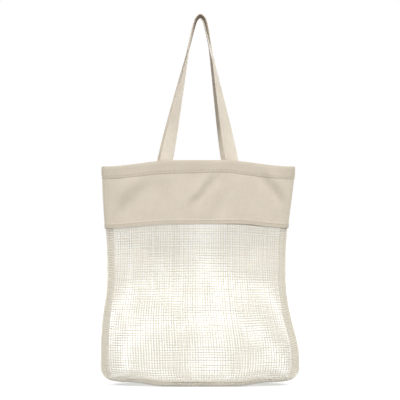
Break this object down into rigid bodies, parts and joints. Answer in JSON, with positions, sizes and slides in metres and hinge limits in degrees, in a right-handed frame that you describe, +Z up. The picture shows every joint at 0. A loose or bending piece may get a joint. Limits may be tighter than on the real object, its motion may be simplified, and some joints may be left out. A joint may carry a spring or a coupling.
{
  "type": "mesh produce bag",
  "caption": "Cotton tote with a net body, a canvas band round its mouth and two strap handles, for carrying and keeping fruit and vegetables.",
  "frame": {"origin": "middle of the flat underside that the bag stands on", "axes": "+Z up, -Y towards the bag's front panel, +X to the bag's right seen from the front"},
  "size_m": [0.3942, 0.1174, 0.7295],
  "materials": {
    "canvas": "plain woven natural cotton, matte",
    "net": "soft cotton net yarn, matte",
    "seam_tape": "cotton binding tape, matte",
    "strap_webbing": "herringbone cotton tape, matte",
    "thread": "cotton sewing thread, matte"
  },
  "bodies": {
    "bag": {"front_canvas_band": "canvas", "back_canvas_band": "canvas", "front_mesh_panel": "net", "back_mesh_panel": "net", "left_seam_binding": "seam_tape", "right_seam_binding": "seam_tape", "bottom_seam_binding": "seam_tape", "front_left_handle_end": "strap_webbing", "front_right_handle_end": "strap_webbing", "back_left_handle_end": "strap_webbing", "back_right_handle_end": "strap_webbing", "front_left_handle_tack": "thread", "front_right_handle_tack": "thread", "back_left_handle_tack": "thread", "back_right_handle_tack": "thread", "front_hem_stitching": "thread", "back_hem_stitching": "thread", "front_band_edge_stitching": "thread", "back_band_edge_stitching": "thread", "left_seam_stitching": "thread", "right_seam_stitching": "thread", "bottom_seam_stitching": "thread"},
    "front_handle": {"front_handle_strap": "strap_webbing", "front_handle_stitching": "thread"},
    "back_handle": {"back_handle_strap": "strap_webbing", "back_handle_stitching": "thread"}
  },
  "joints": [
    {"name": "front_handle_flop", "type": "hinge", "parent": "bag", "child": "front_handle", "pos_m": [0, -0.02855, 0.4434], "axis": [1, 0, 0], "range_deg": [0, 170]},
    {"name": "back_handle_flop", "type": "hinge", "parent": "bag", "child": "back_handle", "pos_m": [0, 0.02855, 0.4434], "axis": [-1, 0, 0], "range_deg": [0, 170]}
  ]
}
